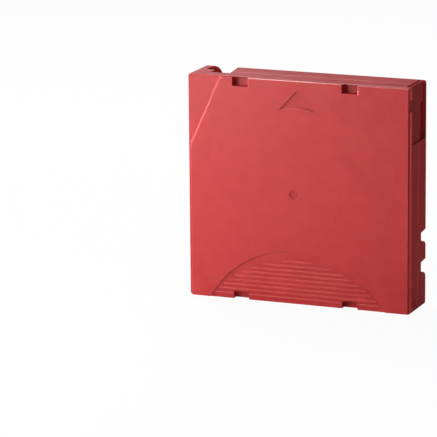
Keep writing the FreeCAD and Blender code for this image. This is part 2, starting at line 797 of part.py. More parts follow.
def make_reel_hub():
    hub = reel_rod(hub_radius, top_flange_under_y, hub_under_y)
    hub = hub.cut(reel_rod(hub_inner, top_flange_y - 1, hub_floor_y))
    parts = [reel_ring(reel_radius, hub_radius - 0.5, flange_upper_side_y, flange_under_y)]
    parts.append(reel_ring(hub_inner + spigot_wall, hub_inner, top_flange_under_y - spigot_height,
                           top_flange_under_y + 0.2))
    parts += tooth_ring(drive_ring_inner, drive_ring_width, tooth_tip_y, hub_under_y, range(tooth_count))
    per_sector = 360.0 / lock_sectors
    half_angle = lock_teeth_per_sector * 180.0 / tooth_count
    base = reel_ring(brake_ring_inner + brake_ring_width, brake_ring_inner, lock_root_y, hub_floor_y + 0.2)
    for sector in range(lock_sectors):
        middle = math.radians((sector + 0.5) * per_sector)
        spread = math.radians(half_angle)
        reach = 2 * brake_radius
        wedge = [(reel_centre_x, reel_centre_z)]
        for angle in (middle - spread, middle, middle + spread):
            wedge.append((reel_centre_x + reach * math.sin(angle), reel_centre_z + reach * math.cos(angle)))
        parts.append(base.common(plate(wedge, lock_root_y - 1, hub_floor_y + 1)))
    parts += tooth_ring(brake_ring_inner, brake_ring_width, lock_tip_y, lock_root_y, lock_tooth_numbers())
    hub = fuse_all(hub, parts)
    cuts = leg_rods(pad_leg_radius + leg_hole_gap, hub_floor_y - 1, tooth_tip_y + 1)
    cuts.append(reel_rod(plate_seat_radius, hub_under_y - plate_sink, hub_under_y + 1))
    return cut_all(hub, cuts)


def make_reel_plate():
    y0 = hub_under_y - plate_sink
    return reel_ring(plate_seat_radius - fit_gap, plate_inner, y0, y0 + plate_thickness)


def make_upper_flange():
    return reel_ring(reel_radius, hub_inner + spigot_wall + fit_gap, top_flange_y, top_flange_under_y)


def make_tape_pack():
    return reel_ring(tape_radius, hub_radius + fit_gap, tape_y0, tape_y0 + tape_width)


# ---- brake and release pad ----
def make_brake_disc():
    disc = reel_rod(brake_radius, brake_back_y, brake_under_y)
    parts = [reel_rod(sleeve_radius, sleeve_top_y, brake_back_y + 0.2)]
    parts.append(reel_rod(brake_tip_radius, brake_under_y - 0.2, pad_top_y - pad_gap))
    tip_y = brake_under_y + brake_tooth_height
    parts += tooth_ring(brake_ring_inner, brake_ring_width, tip_y, brake_under_y, range(tooth_count), 0.5)
    disc = fuse_all(disc, parts)
    return disc.cut(reel_square(key_size / 2 + key_gap, sleeve_top_y - 1, brake_under_y - 0.5))


def make_brake_spring():
    spring = coil(brake_spring_radius, brake_spring_wire, brake_spring_turns, brake_back_y - roof_y, 20, 8)
    spring.rotate(V(0, 0, 0), V(1, 0, 0), -90)
    spring.translate(V(reel_centre_x, roof_y, reel_centre_z))
    return spring


def make_release_pad():
    x, z = reel_centre_x, reel_centre_z
    pad = reel_rod(pad_radius, pad_top_y, pad_top_y + pad_thickness)
    half = pad_arm_width / 2
    arm = block(x - half, x + half, pad_top_y, pad_top_y + pad_thickness, z, z + pad_leg_circle)
    arm = arm.fuse(rod(x, z + pad_leg_circle, pad_leg_radius, pad_top_y, pad_top_y + pad_thickness))
    arms = [turned(arm, angle) for angle in leg_angles()]
    legs = leg_rods(pad_leg_radius, pad_top_y, tooth_tip_y - pad_leg_sink)
    return fuse_all(pad, arms + legs)


# ---- leader pin, its clip and spring, and the free tape ----
def make_leader_pin():
    y0 = roof_y + pin_end_gap
    y1 = floor_y - pin_end_gap
    pin = rod(pin_x, pin_z, pin_shaft_radius, y0, y1)
    ends = [rod(pin_x, pin_z, pin_end_radius, y0, y0 + pin_end_length),
            rod(pin_x, pin_z, pin_end_radius, y1 - pin_end_length, y1)]
    pin = fuse_all(pin, ends)
    rims = [e for e in pin.Edges if abs(e.CenterOfMass.y - y0) < 1e-6 or abs(e.CenterOfMass.y - y1) < 1e-6]
    return pin.makeChamfer(0.3, rims)


def make_clip():
    y0 = tape_y0
    clip = ring(pin_x, pin_z, clip_radius, pin_shaft_radius, y0, y0 + tape_width)
    half = clip_slot / 2
    return clip.cut(block(pin_x, pin_x + clip_radius + 1, y0 - 1, y0 + tape_width + 1, pin_z - half, pin_z + half))


def make_leader_tape():
    """Free tape: the tangent from the wound tape to the top of the clip."""
    pack = tape_radius + fit_gap
    dx, dz = pin_x - reel_centre_x, pin_z - reel_centre_z
    distance = math.hypot(dx, dz)
    lean = math.atan2(dz, dx) + math.acos((pack - clip_radius) / distance)
    out = (math.cos(lean), math.sin(lean))
    near = (reel_centre_x + pack * out[0], reel_centre_z + pack * out[1])
    far = (pin_x + (clip_radius + fit_gap) * out[0], pin_z + (clip_radius + fit_gap) * out[1])
    thick = leader_thickness
    outline = [near, far, (far[0] + thick * out[0], far[1] + thick * out[1]),
               (near[0] + thick * out[0], near[1] + thick * out[1])]
    return plate(outline, tape_y0, tape_y0 + tape_width)


def strip(points, thickness, y0, y1):
    """Bent strip of constant thickness that follows (x, z) points."""
    sides = [[], []]
    for index, (x, z) in enumerate(points):
        before = points[max(index - 1, 0)]
        after = points[min(index + 1, len(points) - 1)]
        run = math.hypot(after[0] - before[0], after[1] - before[1])
        nx, nz = -(after[1] - before[1]) / run, (after[0] - before[0]) / run
        for side, sign in ((0, 1), (1, -1)):
            sides[side].append((x + sign * nx * thickness / 2, z + sign * nz * thickness / 2))
    return plate(sides[0] + sides[1][::-1], y0, y1)


def make_pin_retainer():
    """Spring-steel yoke: a web on the front wall and two arms that hold the pin's ends."""
    t = retainer_thickness
    z = front_inner_z - t / 2 - fit_gap
    x0 = reel_centre_x + face_notch_x + face_notch_width / 2 + notch_wall + retainer_gap
    reach = pin_end_radius + t / 2 + fit_gap
    arm = [(x0, z), (pin_x - 3.0, z), (pin_x + 2.3, pin_z + 2.6), (pin_x + reach - 0.1, pin_z + 1.15)]
    y0 = roof_y + pin_end_gap + 0.05
    y1 = floor_y - pin_end_gap - 0.05
    arms = [strip(arm, t, y0, y0 + pin_end_length), strip(arm, t, y1 - pin_end_length, y1)]
    return fuse_all(block(x0, x0 + retainer_web, y0, y1, z - t / 2, z + t / 2), arms)


# ---- write-protect switch ----
def make_switch():
    x = switch_window_x - switch_travel / 2
    z0 = rear_wall + switch_side_gap
    tall = switch_body_height / 2
    half = switch_body_width / 2
    body = block(x - half, x + half, parting_y - tall, parting_y + tall, z0, z0 + switch_body_thickness)
    tab_half = switch_tab_width / 2
    tab_tall = switch_window_height / 2 - switch_side_gap
    tab = block(x - tab_half, x + tab_half, parting_y - tab_tall, parting_y + tab_tall, switch_tab_sink, z0 + 0.2)
    ridges = []
    for offset in (-1.2, 0.0, 1.2):
        ridges.append(block(x + offset - 0.25, x + offset + 0.25, parting_y - tab_tall + 0.4,
                            parting_y + tab_tall - 0.4, switch_tab_sink - 1, switch_tab_sink + 0.35))
    return fuse_all(body, [tab]).cut(Part.makeCompound(ridges))


# ---- memory board and chip ----
def make_memory_board():
    return memory_blank()


def make_memory_chip():
    half = memory_chip_size / 2
    y1 = -memory_thickness / 2
    chip = block(memory_x - half, memory_x + half, y1 - memory_chip_thickness, y1, -half, half)
    chip = chip.makeFillet(0.3, edges_along(chip, V(0, 1, 0)))
    chip.rotate(V(memory_x, 0, 0), V(1, 0, 0), 45)
    chip.translate(V(0, memory_centre_y, memory_centre_z))
    return chip


# ---- screws ----
def make_screw(x, z):
    """Round-headed screw driven from the underside, with a hexagon socket."""
    head_y = under_y - screw_head_sink
    head = rod(x, z, screw_head_radius, screw_seat_y, head_y)
    rim = [e for e in head.Edges if abs(e.CenterOfMass.y - head_y) < 1e-6 and len(e.Vertexes) == 1]
    head = head.makeChamfer(0.35, rim)
    shank = rod(x, z, screw_shank_radius - fit_gap, parting_y - screw_engagement + 0.5, screw_seat_y + 0.1)
    socket = plate([(x + drive_socket_radius * math.cos(math.radians(60 * k)),
                     z + drive_socket_radius * math.sin(math.radians(60 * k))) for k in range(6)],
                   head_y - drive_socket_depth, head_y + 1)
    return head.fuse(shank).removeSplitter().cut(socket)


PIECES = (
    ("upper_case", make_upper_case),
    ("lower_case", make_lower_case),
    ("door", make_door),
    ("door_spring", make_door_spring),
    ("leader_pin", make_leader_pin),
    ("leader_pin_clip", make_clip),
    ("pin_retainer_spring", make_pin_retainer),
    ("leader_tape", make_leader_tape),
    ("tape_pack", make_tape_pack),
    ("reel_hub", make_reel_hub),
    ("reel_upper_flange", make_upper_flange),
    ("reel_plate", make_reel_plate),
    ("brake_disc", make_brake_disc),
    ("brake_spring", make_brake_spring),
    ("release_pad", make_release_pad),
    ("write_protect_switch", make_switch),
    ("memory_board", make_memory_board),
    ("memory_chip", make_memory_chip),
)

os.makedirs("parts", exist_ok=True)
for name, make in PIECES:
    export(make(), name)
for number, (x, z) in enumerate(screw_places, 1):
    export(make_screw(x, z), "case_screw_%d" % number)
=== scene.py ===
"""Finish of the data tape cartridge: rounded moulded shells, wound tape, coil springs, materials
and studio."""

import math

import bmesh
import bpy
from bpy.props import FloatProperty, FloatVectorProperty, IntProperty, PointerProperty
from mathutils import Matrix, Vector
from mathutils.bvhtree import BVHTree
from mathutils.kdtree import KDTree


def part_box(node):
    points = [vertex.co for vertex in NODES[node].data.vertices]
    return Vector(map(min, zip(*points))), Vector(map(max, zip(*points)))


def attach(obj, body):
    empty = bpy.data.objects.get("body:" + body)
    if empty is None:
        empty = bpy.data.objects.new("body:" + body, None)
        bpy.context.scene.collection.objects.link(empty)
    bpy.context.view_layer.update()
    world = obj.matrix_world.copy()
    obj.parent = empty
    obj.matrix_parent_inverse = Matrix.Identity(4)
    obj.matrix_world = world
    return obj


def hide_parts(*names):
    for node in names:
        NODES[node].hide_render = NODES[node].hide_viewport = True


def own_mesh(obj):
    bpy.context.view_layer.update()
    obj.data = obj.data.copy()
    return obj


bl_info = {
    "name": "Data Tape Cartridge",
    "version": (1, 0, 0),
    "blender": (4, 5, 0),
    "location": "View3D > Sidebar > Cartridge",
    "description": "Dresses the packed cartridge: shells, door, reel, springs, small parts, studio",
    "category": "Object",
}

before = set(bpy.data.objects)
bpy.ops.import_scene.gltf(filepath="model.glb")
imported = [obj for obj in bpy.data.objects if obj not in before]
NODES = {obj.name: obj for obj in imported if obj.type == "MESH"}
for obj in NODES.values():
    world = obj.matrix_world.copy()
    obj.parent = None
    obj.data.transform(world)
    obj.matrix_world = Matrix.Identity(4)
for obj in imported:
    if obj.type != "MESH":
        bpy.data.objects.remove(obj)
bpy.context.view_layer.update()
MM = 0.001  # every length is in metres

# Rounding of moulded edges
SHARP_BEND = math.radians(28)  # an edge bent more than this is rounded
SHADED_BEND = math.radians(32)  # an edge bent more than this is shaded as sharp
SHOWING_DEPTH = 4.5 * MM  # only edges this near to a piece's own box are rounded
ROUNDING_STEPS = 2  # faces across a rounding
ROUNDING_TRIES = 12
FAULT_REACH = 2.0  # edges this many radii from a fault stay sharp
FOLD_COSINE = -0.9  # two faces with normals further apart than this lie back on each other
SLIVER_AREA = 1e-11  # a smaller face cannot be seen, so its folds do not count
WELD = 2e-6  # corners of packed triangles nearer than this are one
SAME_PLANE = math.radians(0.3)  # faces this close to one plane are joined
SEAM_WELD = 1e-6  # corners along the seam of a swept piece nearer than this are one

# Reel and springs
TAPE_DEPTH = 22.85 * MM  # from the inner to the outer side of the wound tape
TAPE_SIDES = 128  # faces round the wound tape
SWEEP_RADIUS = 0.1 * MM  # of the small circle that carries the tape's section round
WIRE_SIDES = 10  # faces round a spring's wire
# node, wire, turns, the direction it is pressed in, and the joint that presses it
SPRINGS = (
    ("door_spring", 0.36 * MM, 13, (0, 0, 1), "door_slide"),
    ("brake_spring", 0.8 * MM, 5, (0, 1, 0), "brake_lift"),
)
SWITCH_EDGE_RADIUS = 0.1 * MM

# Materials; texture scales are per metre
NOISE_SPAN = (0.3, 0.7)  # nearly all of a noise texture's values lie between these
FLOW_SCALE = 170.0  # faint flow marks in moulded plastic, a few millimetres apart
SCRATCH_RUNS = ((0.35, 9.0), (1.25, 7.0))  # turn of a set of scratches, and how long they are drawn
TAPE_RINGS = 4200.0  # fine rings in the side of the wound tape
ANTENNA_BAND = 2.6 * MM  # width of the printed antenna, from the board's edge
ANTENNA_LOOPS = 8200.0  # in radians: one loop every 0.77 mm
BOARD_LEAN = 1.42  # the board leans at 45 degrees: length along it for each length of rise

# Studio
CAMERA_TARGET = (-0.04280, 0.0, 0.03373)
SENSOR = 36.0  # millimetres, wide and high
LAMP_TARGET = (0, 0, 0.05)
# name, place, size, the setting with its power, and its spread in degrees
LAMPS = (
    ("key_lamp", (-0.205, -0.255, 0.15), 0.26, "key_power", 180),
    ("edge_lamp", (-0.98, -0.23, 0.04), 0.12, "edge_power", 30),
    ("top_lamp", (-0.36, 0.38, 0.60), 0.4, "top_power", 180),
)


def linear(red, green, blue):
    """A display colour, 0 to 255, as the linear colour that a shader takes."""
    out = []
    for value in (red, green, blue):
        share = value / 255
        out.append(share / 12.92 if share <= 0.04045 else ((share + 0.055) / 1.055) ** 2.4)
    return tuple(out)


# ---------------------------------------------------------------- settings
def colour(name, description, rgb):
    """A colour setting, with its default as a display colour."""
    return FloatVectorProperty(name=name, description=description, subtype="COLOR", size=3,
                               min=0, max=1, default=linear(*rgb))


def length(name, description, metres):
    """A length setting."""
    return FloatProperty(name=name, description=description, unit="LENGTH", min=0, default=metres)


def angle(name, description, degrees):
    """An angle setting, with its default in degrees."""
    return FloatProperty(name=name, description=description, subtype="ANGLE",
                         default=math.radians(degrees))


def amount(name, description, value, most=1.0):
    """A plain number setting that is never below nothing."""
    return FloatProperty(name=name, description=description, min=0, max=most, default=value)


def power(name, description, watts):
    """A lamp's power setting."""
    return FloatProperty(name=name, description=description, unit="POWER", default=watts)


def count(name, description, value):
    """A number of steps, four at the least."""
    return IntProperty(name=name, description=description, min=4, default=value)


class CaseSettings(bpy.types.PropertyGroup):
    edge_radius: length("Edge radius", "Rounding of the moulded edges of the case", 0.14 * MM)
    door_edge_radius: length("Door edge radius", "Rounding of the door's edges", 0.12 * MM)
    red: colour("Case red", "Colour of the moulded case", (186, 46, 47))
    # The edge colour is paler than the case red: it paints a highlight on the rounded edges.
    edge_highlight_red: colour("Edge highlight red", "Colour of the rounded edges, paler to paint their highlight",
                     (210, 78, 77))
    door_red: colour("Door red", "Colour of the sliding door", (168, 42, 42))
    grain_size: length("Grain size", "Distance between grains of the moulded texture", 0.32 * MM)
    grain_depth: length("Grain depth", "Depth of the moulded texture", 0.02 * MM)


class ReelSettings(bpy.types.PropertyGroup):
    windings: count("Windings", "Visible steps in the side of the wound tape", 38)
    relief: length("Winding relief", "How far single windings stand back from the rest",
                   0.07 * MM)
    tape_brown: colour("Tape", "Colour of the wound tape", (52, 43, 39))
    hub_grey: colour("Hub", "Colour of the hub and flanges", (206, 205, 199))
    brake_grey: colour("Brake", "Colour of the brake disc", (62, 64, 68))
    pad_white: colour("Release pad", "Colour of the release pad and the pin's clip",
                      (228, 226, 218))


class SmallPartSettings(bpy.types.PropertyGroup):
    wire_steps: count("Spring steps", "Sections in one turn of a spring", 28)
    steel: colour("Steel", "Colour of the springs, the pin and the hub's plate", (196, 198, 202))
    dark_steel: colour("Screw steel", "Colour of the case screws", (112, 113, 118))
    switch_orange: colour("Switch", "Colour of the write-protect switch", (205, 96, 48))
    board_green: colour("Board", "Colour of the memory board", (38, 88, 58))


class StudioSettings(bpy.types.PropertyGroup):
    distance: length("Camera distance", "Camera to the point it looks at", 1.5)
    azimuth: angle("Azimuth", "Turn of the camera towards the door side", 22.31)
    elevation: angle("Elevation", "Height angle of the camera", 13.43)
    roll: angle("Roll", "Tilt of the camera about its own axis", -0.53)
    lens: FloatProperty(name="Lens", description="Focal length in mm on a 36 mm sensor",
                        default=272.69)
    floor_size: length("Floor size", "Side of the studio floor", 6.0)
    floor_white: colour("Floor", "Colour of the studio floor", (236, 236, 236))
    floor_glow: amount("Floor glow", "How far the camera sees the floor as plain white", 0.94)
    key_power: power("Key lamp", "Power of the soft lamp at the upper left", 0.81)
    edge_power: power("Edge lamp", "Power of the grazing lamp at the left", 0.26)
    top_power: power("Top lamp", "Power of the lamp above, a little behind", 4.0)
    ambient: amount("Ambient", "Brightness of the room on the object", 0.30, most=10.0)
    reflected: amount("Reflected room", "Brightness of the room in reflections", 0.08, most=10.0)
    floor_reflected: amount("Reflected floor", "Brightness of the floor in reflections", 0.03)


SETTINGS = (
    ("cartridge_case", CaseSettings),
    ("cartridge_reel", ReelSettings),
    ("cartridge_small", SmallPartSettings),
    ("cartridge_studio", StudioSettings),
)


# ---------------------------------------------------------------- shader groups
class Nodes:
    """Short hand for building a node tree."""

    def __init__(self, tree):
        self.tree = tree

    def add(self, kind, **values):
        """A node with its own settings and the values of its inputs."""
        node = self.tree.nodes.new(kind)
        for name, value in values.items():
            if hasattr(node, name):
                setattr(node, name, value)
            else:
                node.inputs[name].default_value = value
        return node

    def link(self, source, target):
        self.tree.links.new(source, target)

    def place(self):
        """The point on the piece, in metres."""
        return self.add("ShaderNodeTexCoord").outputs["Object"]

    def mapped(self, vector, **values):
        """The vector moved, turned or stretched, by Location, Rotation or Scale."""
        node = self.add("ShaderNodeMapping", **values)
        self.link(vector, node.inputs["Vector"])
        return node.outputs[0]

    def math(self, operation, first, second=0.0, clamp=False):
        node = self.add("ShaderNodeMath", operation=operation, use_clamp=clamp)
        for index, value in enumerate((first, second)):
            if isinstance(value, (int, float)):
                node.inputs[index].default_value = value
            else:
                self.link(value, node.inputs[index])
        return node.outputs[0]

    def spread(self, value, low, high, to_low=0.0, to_high=1.0):
        """The value's range from low to high, stretched over another range."""
        node = self.add("ShaderNodeMapRange")
        self.link(value, node.inputs["Value"])
        ends = {"From Min": low, "From Max": high, "To Min": to_low, "To Max": to_high}
        for name, number in ends.items():
            node.inputs[name].default_value = number
        return node.outputs["Result"]

    def blend(self, factor, first, second):
        """One colour going over into another."""
        node = self.add("ShaderNodeMix", data_type="RGBA")
        values = {"Factor_Float": factor, "A_Color": first, "B_Color": second}
        for target in node.inputs:
            value = values.get(target.identifier)
            if isinstance(value, tuple):
                target.default_value = (*value, 1)
            elif value is not None:
                self.link(value, target)
        return next(o for o in node.outputs if o.identifier == "Result_Color")

    def noise(self, vector, scale, detail=2.0, roughness=0.5):
        node = self.add("ShaderNodeTexNoise", Detail=detail, Roughness=roughness)
        self.link(vector, node.inputs["Vector"])
        if isinstance(scale, (int, float)):
            node.inputs["Scale"].default_value = scale
        else:
            self.link(scale, node.inputs["Scale"])
        return node.outputs["Fac"]

    def scaled(self, tone, factor):
        """A colour made lighter or darker."""
        node = self.add("ShaderNodeVectorMath", operation="SCALE")
        self.link(tone, node.inputs[0])
        self.link(factor, node.inputs["Scale"])
        return node.outputs[0]


def new_group(name, inputs, outputs):
    """A shader group with float or colour sockets: (name, kind, default)."""
    tree = bpy.data.node_groups.new(name, "ShaderNodeTree")
    for label, kind, default in inputs:
        socket = tree.interface.new_socket(label, in_out="INPUT", socket_type="NodeSocket" + kind)
        socket.default_value = default
    for label, kind in outputs:
        tree.interface.new_socket(label, in_out="OUTPUT", socket_type="NodeSocket" + kind)
    nodes = Nodes(tree)
    return nodes, nodes.add("NodeGroupInput"), nodes.add("NodeGroupOutput")


def moulded_grain(name):
    """Spark-eroded texture of a moulding tool: fine rounded grains, with faint flow marks."""
    n, into, out = new_group(
        name,
        [("Colour", "Color", (0.5, 0.5, 0.5, 1)), ("Grain Size", "Float", 0.0003),
         ("Mottle", "Float", 0.06), ("Roughness", "Float", 0.5),
         ("Roughness Change", "Float", 0.06)],
        [("Colour", "Color"), ("Roughness", "Float"), ("Height", "Float")])
    place = n.place()
    scale = n.math("DIVIDE", 1.0, into.outputs["Grain Size"])
    fine = n.noise(place, scale, detail=3.0, roughness=0.6)
    grains = n.add("ShaderNodeTexVoronoi", feature="SMOOTH_F1")
    n.link(place, grains.inputs["Vector"])
    n.link(scale, grains.inputs["Scale"])
    height = n.math("ADD", n.math("MULTIPLY", fine, 0.6),
                    n.math("MULTIPLY", grains.outputs["Distance"], -0.5))
    broad = n.noise(place, FLOW_SCALE, detail=4.0, roughness=0.65)
    flow = n.spread(broad, *NOISE_SPAN, -1.0, 1.0)
    speck = n.spread(fine, *NOISE_SPAN, -1.0, 1.0)
    tone = n.math("ADD", n.math("MULTIPLY", flow, 0.7), n.math("MULTIPLY", speck, 0.3))
    gain = n.math("ADD", 1.0, n.math("MULTIPLY", tone, into.outputs["Mottle"]))
    change = n.math("MULTIPLY", flow, into.outputs["Roughness Change"])
    n.link(n.scaled(into.outputs["Colour"], gain), out.inputs["Colour"])
    n.link(n.math("ADD", into.outputs["Roughness"], change), out.inputs["Roughness"])
    n.link(height, out.inputs["Height"])
    return n.tree


def handling_marks(name):
    """Thin scuffs of use: a sparse mask of fine straight and curved scratches."""
    n, into, out = new_group(name, [("Amount", "Float", 0.3), ("Scale", "Float", 120.0)],
                             [("Mask", "Float")])
    place = n.place()
    masks = []
    for turn, stretch in SCRATCH_RUNS:
        along = n.mapped(place, Rotation=(turn, turn * 1.7, turn * 0.6),
                         Scale=(1.0, stretch, stretch))
        lines = n.noise(along, into.outputs["Scale"], detail=1.0, roughness=0.4)
        masks.append(n.spread(lines, 0.70, 0.76))
    patches = n.spread(n.noise(place, 26.0), 0.5, 0.66)
    both = n.math("MULTIPLY", n.math("MAXIMUM", *masks), patches)
    n.link(n.math("MULTIPLY", both, into.outputs["Amount"], clamp=True), out.inputs["Mask"])
    return n.tree


def drawn_metal(name):
    """Fine lines of drawn or turned metal along one axis, and a faint change of tone."""
    n, into, out = new_group(
        name,
        [("Colour", "Color", (0.6, 0.6, 0.6, 1)), ("Line Scale", "Float", 900.0),
         ("Roughness", "Float", 0.3)],
        [("Colour", "Color"), ("Roughness", "Float"), ("Height", "Float")])
    place = n.place()
    lines = n.noise(n.mapped(place, Scale=(1.0, 6.0, 1.0)), into.outputs["Line Scale"],
                    detail=2.0, roughness=0.6)
    gain = n.math("ADD", n.spread(lines, *NOISE_SPAN, 0.94, 1.04),
                  n.spread(n.noise(place, 90.0), *NOISE_SPAN, -0.05, 0.03))
    change = n.spread(lines, *NOISE_SPAN, -0.05, 0.08)
    n.link(n.scaled(into.outputs["Colour"], gain), out.inputs["Colour"])
    n.link(n.math("ADD", into.outputs["Roughness"], change), out.inputs["Roughness"])
    n.link(lines, out.inputs["Height"])
    return n.tree


def place_group(nodes, name, make, **values):
    """Puts a group in a material; the first use builds it."""
    tree = bpy.data.node_groups.get(name) or make(name)
    node = nodes.add("ShaderNodeGroup", node_tree=tree)
    for label, value in values.items():
        socket = node.inputs[label.replace("_", " ")]
        socket.default_value = (*value, 1) if isinstance(value, tuple) else value
    return node


def bare_material(name, **shader_values):
    """A new material, its nodes and its shader, with the shader's even values set."""
    material = bpy.data.materials.new(name)
    material.use_nodes = True
    nodes = Nodes(material.node_tree)
    shader = next(node for node in material.node_tree.nodes if node.type == "BSDF_PRINCIPLED")
    for label, value in shader_values.items():
        shader.inputs[label.replace("_", " ")].default_value = value
    return material, nodes, shader


def bump(nodes, shader, height, distance):
    """Fine relief from a height that varies over the surface."""
    node = nodes.add("ShaderNodeBump", Strength=1.0, Distance=distance)
    nodes.link(height, node.inputs["Height"])
    nodes.link(node.outputs[0], shader.inputs["Normal"])


def moulded(name, rgb, roughness, grain, depth, mottle=0.12, marks=0.0, **shader_values):
    """Moulded plastic with its grain, a faint mottle and, where set, pale handling marks."""
    material, n, shader = bare_material(name, **shader_values)
    finish = place_group(n, "Moulded grain", moulded_grain, Colour=tuple(rgb), Grain_Size=grain,
                         Mottle=mottle, Roughness=roughness)
    tone, rough = finish.outputs["Colour"], finish.outputs["Roughness"]
    if marks:
        scuffs = place_group(n, "Handling marks", handling_marks, Amount=marks)
        mask = scuffs.outputs["Mask"]
        tone = n.blend(mask, tone, (0.9, 0.9, 0.88))
        rough = n.math("SUBTRACT", rough, n.math("MULTIPLY", mask, 0.15))
    n.link(tone, shader.inputs["Base Color"])
    n.link(rough, shader.inputs["Roughness"])
    bump(n, shader, finish.outputs["Height"], depth)
    return material


def steel(name, rgb, roughness, line_scale, marks=0.2):
    """Drawn or turned steel with thin bright scuffs."""
    material, n, shader = bare_material(name, Metallic=1.0)
    finish = place_group(n, "Drawn metal", drawn_metal, Colour=tuple(rgb), Line_Scale=line_scale,
                         Roughness=roughness)
    scuffs = place_group(n, "Handling marks", handling_marks, Amount=marks, Scale=260.0)
    tone = n.blend(scuffs.outputs["Mask"], finish.outputs["Colour"], (0.82, 0.82, 0.84))
    n.link(tone, shader.inputs["Base Color"])
    n.link(finish.outputs["Roughness"], shader.inputs["Roughness"])
    bump(n, shader, finish.outputs["Height"], 0.004 * MM)
    return material


def wound_tape_material(rgb):
    """Tape edges packed layer on layer: fine rings about the reel's axis, with a satin sheen."""
    material, n, shader = bare_material("Wound tape")
    low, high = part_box("tape_pack")
    middle = (low + high) / 2
    centred = n.mapped(n.place(), Location=(-middle.x, 0, -middle.z))
    flat = n.add("ShaderNodeVectorMath", operation="MULTIPLY")
    flat.inputs[1].default_value = (1, 0, 1)
    n.link(centred, flat.inputs[0])
    reach = n.add("ShaderNodeVectorMath", operation="LENGTH")
    n.link(flat.outputs[0], reach.inputs[0])
    across = n.add("ShaderNodeCombineXYZ")
    n.link(n.math("MULTIPLY", reach.outputs["Value"], TAPE_RINGS), across.inputs[0])
    rings = n.noise(across.outputs[0], 1.0, detail=3.0, roughness=0.7)
    dark, light = (tuple(c * share for c in rgb) for share in (0.72, 1.5))
    n.link(n.blend(n.spread(rings, *NOISE_SPAN), dark, light), shader.inputs["Base Color"])
    n.link(n.spread(rings, *NOISE_SPAN, 0.28, 0.44), shader.inputs["Roughness"])
    bump(n, shader, rings, 0.02 * MM)
    return material


def film_material():
    """Dark leader film with a faint lengthwise streak."""
    material, n, shader = bare_material("Leader film", Coat_Weight=0.35, Coat_Roughness=0.2)
    streak = n.noise(n.mapped(n.place(), Scale=(0.06, 1.0, 1.0)), 700.0)
    tone = n.blend(streak, linear(54, 48, 45), linear(80, 72, 67))
    n.link(tone, shader.inputs["Base Color"])
    n.link(n.spread(streak, *NOISE_SPAN, 0.3, 0.4), shader.inputs["Roughness"])
    return material


def board_material(rgb):
    """Solder-masked board with the loops of a printed antenna showing through the mask."""
    material, n, shader = bare_material("Memory board", Coat_Weight=0.5, Coat_Roughness=0.15)
    place = n.place()
    low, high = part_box("memory_board")
    middle = (low + high) / 2
    parts = n.add("ShaderNodeSeparateXYZ")
    n.link(n.mapped(place, Location=(-middle.x, 0, -middle.z)), parts.inputs[0])
    past_end, past_side = (n.math("SUBTRACT", n.math("ABSOLUTE", parts.outputs[i]),
                                  (high[i] - low[i]) / 2) for i in (0, 2))
    edge = n.math("MAXIMUM", n.math("MULTIPLY", past_side, BOARD_LEAN), past_end)
    loops = n.math("SINE", n.math("MULTIPLY", edge, ANTENNA_LOOPS))
    band = n.math("MULTIPLY", n.math("GREATER_THAN", edge, -ANTENNA_BAND),
                  n.spread(loops, 0.0, 0.35))
    tone = n.blend(band, tuple(rgb), tuple(c * 1.8 for c in rgb))
    n.link(tone, shader.inputs["Base Color"])
    n.link(n.spread(n.noise(place, 900.0), *NOISE_SPAN, 0.34, 0.46), shader.inputs["Roughness"])
    bump(n, shader, band, 0.03 * MM)
    return material


# ---------------------------------------------------------------- mesh helpers
def new_object(name, data):
    """A mesh, lamp or camera put in the scene."""
    piece = bpy.data.objects.new(name, data)
    bpy.context.scene.collection.objects.link(piece)
    return piece


def merged_copy(node, name):
    """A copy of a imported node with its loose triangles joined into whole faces."""
    mesh = bpy.data.meshes.new(name)
    form = bmesh.new()
    form.from_mesh(NODES[node].data)
    bmesh.ops.remove_doubles(form, verts=form.verts, dist=WELD)
    bmesh.ops.dissolve_limit(form, angle_limit=SAME_PLANE, use_dissolve_boundaries=False,
                             verts=form.verts, edges=form.edges, delimit={"NORMAL"})
    form.to_mesh(mesh)
    form.free()
    return new_object(name, mesh)


def evaluated_mesh(piece):
    """The mesh that the piece's modifiers make."""
    depsgraph = bpy.context.evaluated_depsgraph_get()
    return bpy.data.meshes.new_from_object(piece.evaluated_get(depsgraph))


def settle(piece, mesh):
    """Gives the piece a finished mesh in place of its modifiers."""
    mesh.name = piece.name
    piece.modifiers.clear()
    piece.data = mesh


def sharp_outer_edges(form):
    """The sharp edges near to the piece's own box, which are those that show."""
    low = Vector(min(vertex.co[i] for vertex in form.verts) for i in range(3))
    high = Vector(max(vertex.co[i] for vertex in form.verts) for i in range(3))
    found = set()
    for edge in form.edges:
        middle = (edge.verts[0].co + edge.verts[1].co) / 2
        inside = all(low[i] + SHOWING_DEPTH < middle[i] < high[i] - SHOWING_DEPTH
                     for i in range(3))
        if not inside and len(edge.link_faces) == 2 and edge.calc_face_angle(0.0) > SHARP_BEND:
            found.add(edge.index)
    return found


def faulty_spots(mesh, solid, reach):
    """Places where a rounding has left the solid's surface or folded a face back on itself."""
    form = bmesh.new()
    form.from_mesh(mesh)
    bmesh.ops.triangulate(form, faces=form.faces, ngon_method="EAR_CLIP")
    spots = [vertex.co.copy() for vertex in form.verts
             if solid.find_nearest(vertex.co)[3] > reach]
    for edge in form.edges:
        if len(edge.link_faces) == 2:
            one, two = edge.link_faces
            folded = one.normal.dot(two.normal) < FOLD_COSINE
            if folded and min(one.calc_area(), two.calc_area()) > SLIVER_AREA:
                spots.extend(vertex.co.copy() for vertex in edge.verts)
    form.free()
    return spots


def edges_away_from(spots, chosen, form, distance):
    """Those of the chosen edges with both ends further than a distance from every spot."""
    tree = KDTree(len(spots))
    for index, spot in enumerate(spots):
        tree.insert(spot, index)
    tree.balance()
    return {index for index in chosen
            if min(tree.find(vertex.co)[2] for vertex in form.edges[index].verts) > distance}


